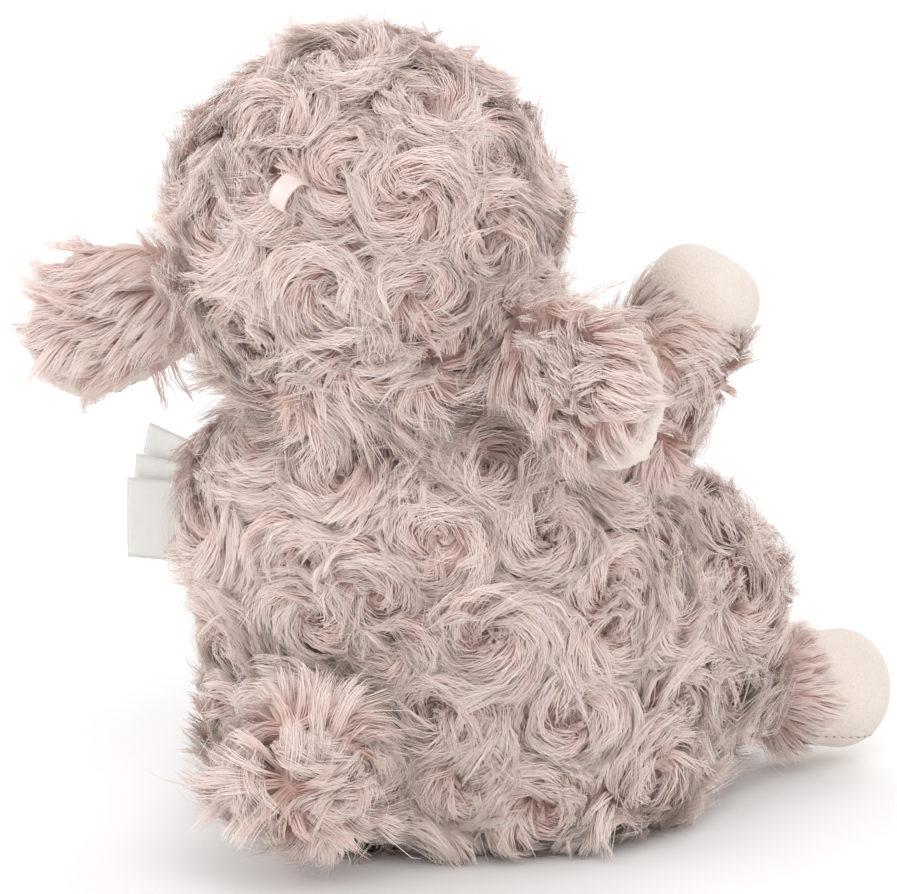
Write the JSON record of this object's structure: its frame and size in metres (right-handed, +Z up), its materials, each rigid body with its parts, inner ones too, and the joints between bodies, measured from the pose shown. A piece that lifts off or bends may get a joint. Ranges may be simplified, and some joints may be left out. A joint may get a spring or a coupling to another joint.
{
  "type": "seated plush goat",
  "caption": "Seated stuffed goat in rosette-combed long pile with cream hooves, ear linings and face, floppy ears, a round tail, a ribbon hang loop and side-seam labels.",
  "frame": {"origin": "on the floor under the body, on the flat of the seat", "axes": "+Z up, the goat faces -Y, its left is +X"},
  "size_m": [0.178, 0.1944, 0.2041],
  "materials": {
    "rosette_fur": "long pile combed into rosettes",
    "cream_velour": "short pile",
    "fibre_fill": "loose fibre",
    "pellet_cloth": "woven bag of pellets",
    "satin_ribbon": "satin",
    "woven_label": "smooth woven tape",
    "eye_plastic": "gloss",
    "washer_plastic": "natural",
    "nose_thread": "embroidery thread",
    "seam_thread": "sewing thread"
  },
  "bodies": {
    "torso": {"body_back_panel": "rosette_fur", "body_belly_panel": "rosette_fur", "body_stuffing": "fibre_fill", "pellet_bag": "pellet_cloth"},
    "neck": {"neck_seam_thread": "seam_thread"},
    "head": {"head_fur_cover": "rosette_fur", "face_panel": "cream_velour", "head_stuffing": "fibre_fill", "muzzle": "cream_velour", "nose": "nose_thread", "mouth_stitch": "nose_thread", "hang_loop": "satin_ribbon", "left_eye": "eye_plastic", "right_eye": "eye_plastic", "left_eye_washer": "washer_plastic", "right_eye_washer": "washer_plastic"},
    "tail": {"tail_cover": "rosette_fur", "tail_stuffing": "fibre_fill"},
    "labels": {"care_label_front": "woven_label", "care_label_middle": "woven_label", "care_label_rear": "woven_label"},
    "ear_left": {"ear_left_back": "rosette_fur", "ear_left_lining": "cream_velour"},
    "arm_left": {"arm_left_sleeve": "rosette_fur", "arm_left_hoof": "cream_velour", "arm_left_stuffing": "fibre_fill"},
    "leg_left": {"leg_left_sleeve": "rosette_fur", "leg_left_hoof": "cream_velour", "leg_left_sole": "cream_velour", "leg_left_stuffing": "fibre_fill"},
    "ear_right": {"ear_right_back": "rosette_fur", "ear_right_lining": "cream_velour"},
    "arm_right": {"arm_right_sleeve": "rosette_fur", "arm_right_hoof": "cream_velour", "arm_right_stuffing": "fibre_fill"},
    "leg_right": {"leg_right_sleeve": "rosette_fur", "leg_right_hoof": "cream_velour", "leg_right_sole": "cream_velour", "leg_right_stuffing": "fibre_fill"}
  },
  "joints": [
    {"name": "neck_turn", "type": "hinge", "parent": "torso", "child": "neck", "pos_m": [0, 0.04, 0.1545], "axis": [0, 0, 1], "range_deg": [-25, 25], "stiffness_Nm_per_rad": 0.12},
    {"name": "head_nod", "type": "hinge", "parent": "neck", "child": "head", "pos_m": [0, 0.04, 0.1545], "axis": [1, 0, 0], "range_deg": [-12, 15], "stiffness_Nm_per_rad": 0.12},
    {"name": "tail_wag", "type": "hinge", "parent": "torso", "child": "tail", "pos_m": [0, 0.05373, 0.027], "axis": [0, 0, 1], "range_deg": [-18, 18], "stiffness_Nm_per_rad": 0.03},
    {"name": "label_flap", "type": "hinge", "parent": "torso", "child": "labels", "pos_m": [0.06112, 0.0128, 0.073], "axis": [0, 0, 1], "range_deg": [-12, 20], "stiffness_Nm_per_rad": 0.001},
    {"name": "ear_left_flap", "type": "hinge", "parent": "head", "child": "ear_left", "pos_m": [0.04708, 0.04663, 0.13538], "axis": [0.2528, -0.1238, 0.9596], "range_deg": [-25, 20], "stiffness_Nm_per_rad": 0.012},
    {"name": "arm_left_swing", "type": "hinge", "parent": "torso", "child": "arm_left", "pos_m": [0.04271, -0.00829, 0.097], "axis": [1, 0, 0], "range_deg": [-15, 30], "stiffness_Nm_per_rad": 0.06},
    {"name": "leg_left_lift", "type": "hinge", "parent": "torso", "child": "leg_left", "pos_m": [0.05566, -0.07672, 0.01996], "axis": [1, 0, 0], "range_deg": [-14, 2], "stiffness_Nm_per_rad": 0.06},
    {"name": "ear_right_flap", "type": "hinge", "parent": "head", "child": "ear_right", "pos_m": [-0.04708, 0.04663, 0.13538], "axis": [-0.2528, -0.1238, 0.9596], "range_deg": [-20, 25], "stiffness_Nm_per_rad": 0.012},
    {"name": "arm_right_swing", "type": "hinge", "parent": "torso", "child": "arm_right", "pos_m": [-0.04271, -0.00829, 0.097], "axis": [1, 0, 0], "range_deg": [-15, 30], "stiffness_Nm_per_rad": 0.06},
    {"name": "leg_right_lift", "type": "hinge", "parent": "torso", "child": "leg_right", "pos_m": [-0.05566, -0.07672, 0.01996], "axis": [1, 0, 0], "range_deg": [-14, 2], "stiffness_Nm_per_rad": 0.06}
  ]
}
